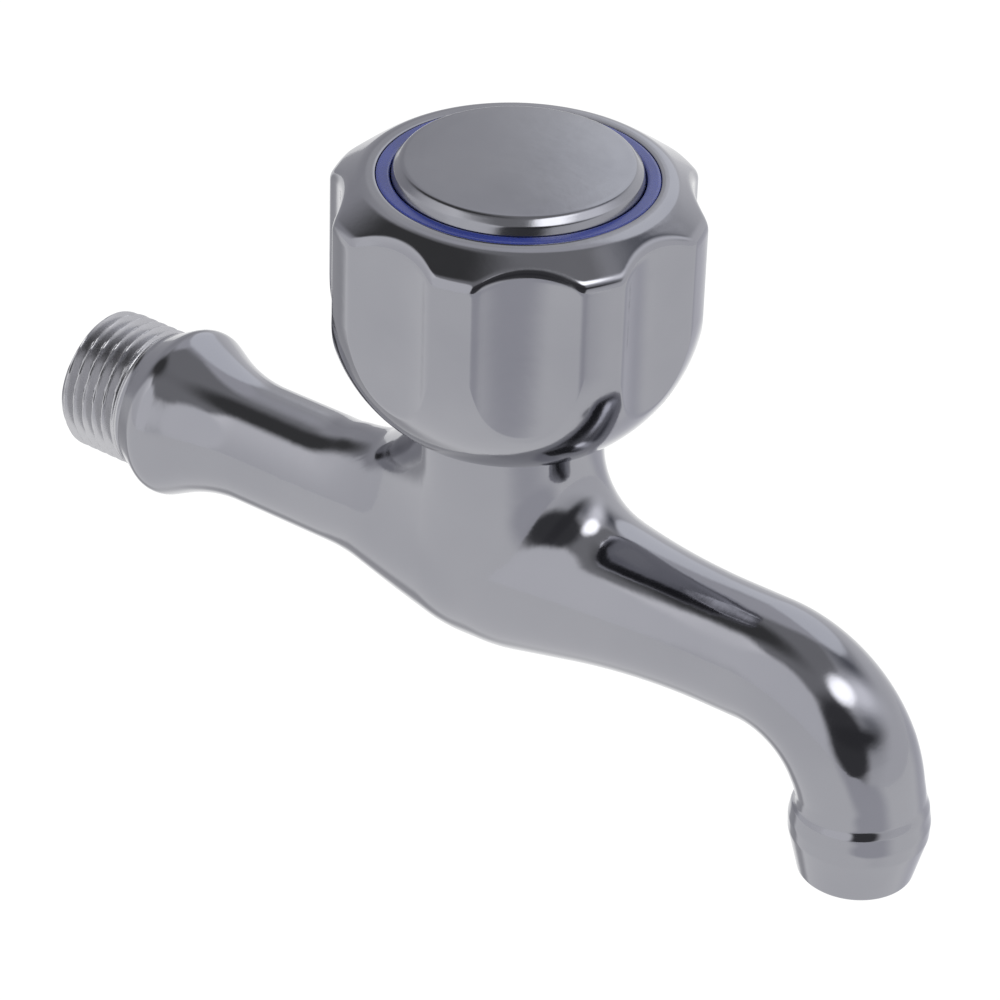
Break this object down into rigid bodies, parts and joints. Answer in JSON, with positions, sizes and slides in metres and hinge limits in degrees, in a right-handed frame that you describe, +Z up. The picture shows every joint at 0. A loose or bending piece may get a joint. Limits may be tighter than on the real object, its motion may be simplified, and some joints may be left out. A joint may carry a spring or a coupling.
{
  "type": "extended wall tap",
  "caption": "Wall tap with a male inlet thread, a long body, a down-turned hose nose and a fluted hand wheel that rises on its spindle.",
  "frame": {"origin": "on the inlet thread's axis, where the thread ends and the body's collar begins", "axes": "+X along the body towards the spout, +Z up along the spindle, the inlet thread points to -X"},
  "size_m": [0.1441, 0.0506, 0.088],
  "materials": {
    "body_chrome": "polished chrome plate over cast brass",
    "wheel_chrome": "polished chrome plate",
    "cap_chrome": "polished chrome plate, slightly hazed",
    "ring_blue": "glossy blue plastic",
    "brass": "machined brass",
    "fibre": "matt red fibre",
    "packing": "matt white sealing ring",
    "rubber": "matt black rubber",
    "insert_plastic": "matt white moulded plastic",
    "screw_steel": "zinc plated steel"
  },
  "bodies": {
    "tap": {"tap_body": "body_chrome", "body_washer": "fibre", "bonnet": "brass", "packing_washer": "brass", "gland_packing": "packing", "gland_follower": "brass", "gland_nut": "brass"},
    "valve": {"jumper_valve": "brass", "jumper_washer": "rubber", "washer_nut": "brass"},
    "wheel": {"spindle": "brass", "wheel_shell": "wheel_chrome", "wheel_insert": "insert_plastic", "wheel_screw": "screw_steel", "screw_washer": "screw_steel", "indicator_ring": "ring_blue", "wheel_cap": "cap_chrome"}
  },
  "joints": [
    {"name": "valve_rise", "type": "slide", "parent": "tap", "child": "valve", "axis": [0, 0, 1], "range_m": [0, 0.005]},
    {"name": "wheel_turn", "type": "hinge", "parent": "valve", "child": "wheel", "pos_m": [0.063, 0, 0.04], "axis": [0, 0, 1], "range_deg": [0, 900]}
  ],
  "couplings": [
    {"joint": "valve_rise", "follows": "wheel_turn", "m_per_rad": 0.0003183}
  ]
}
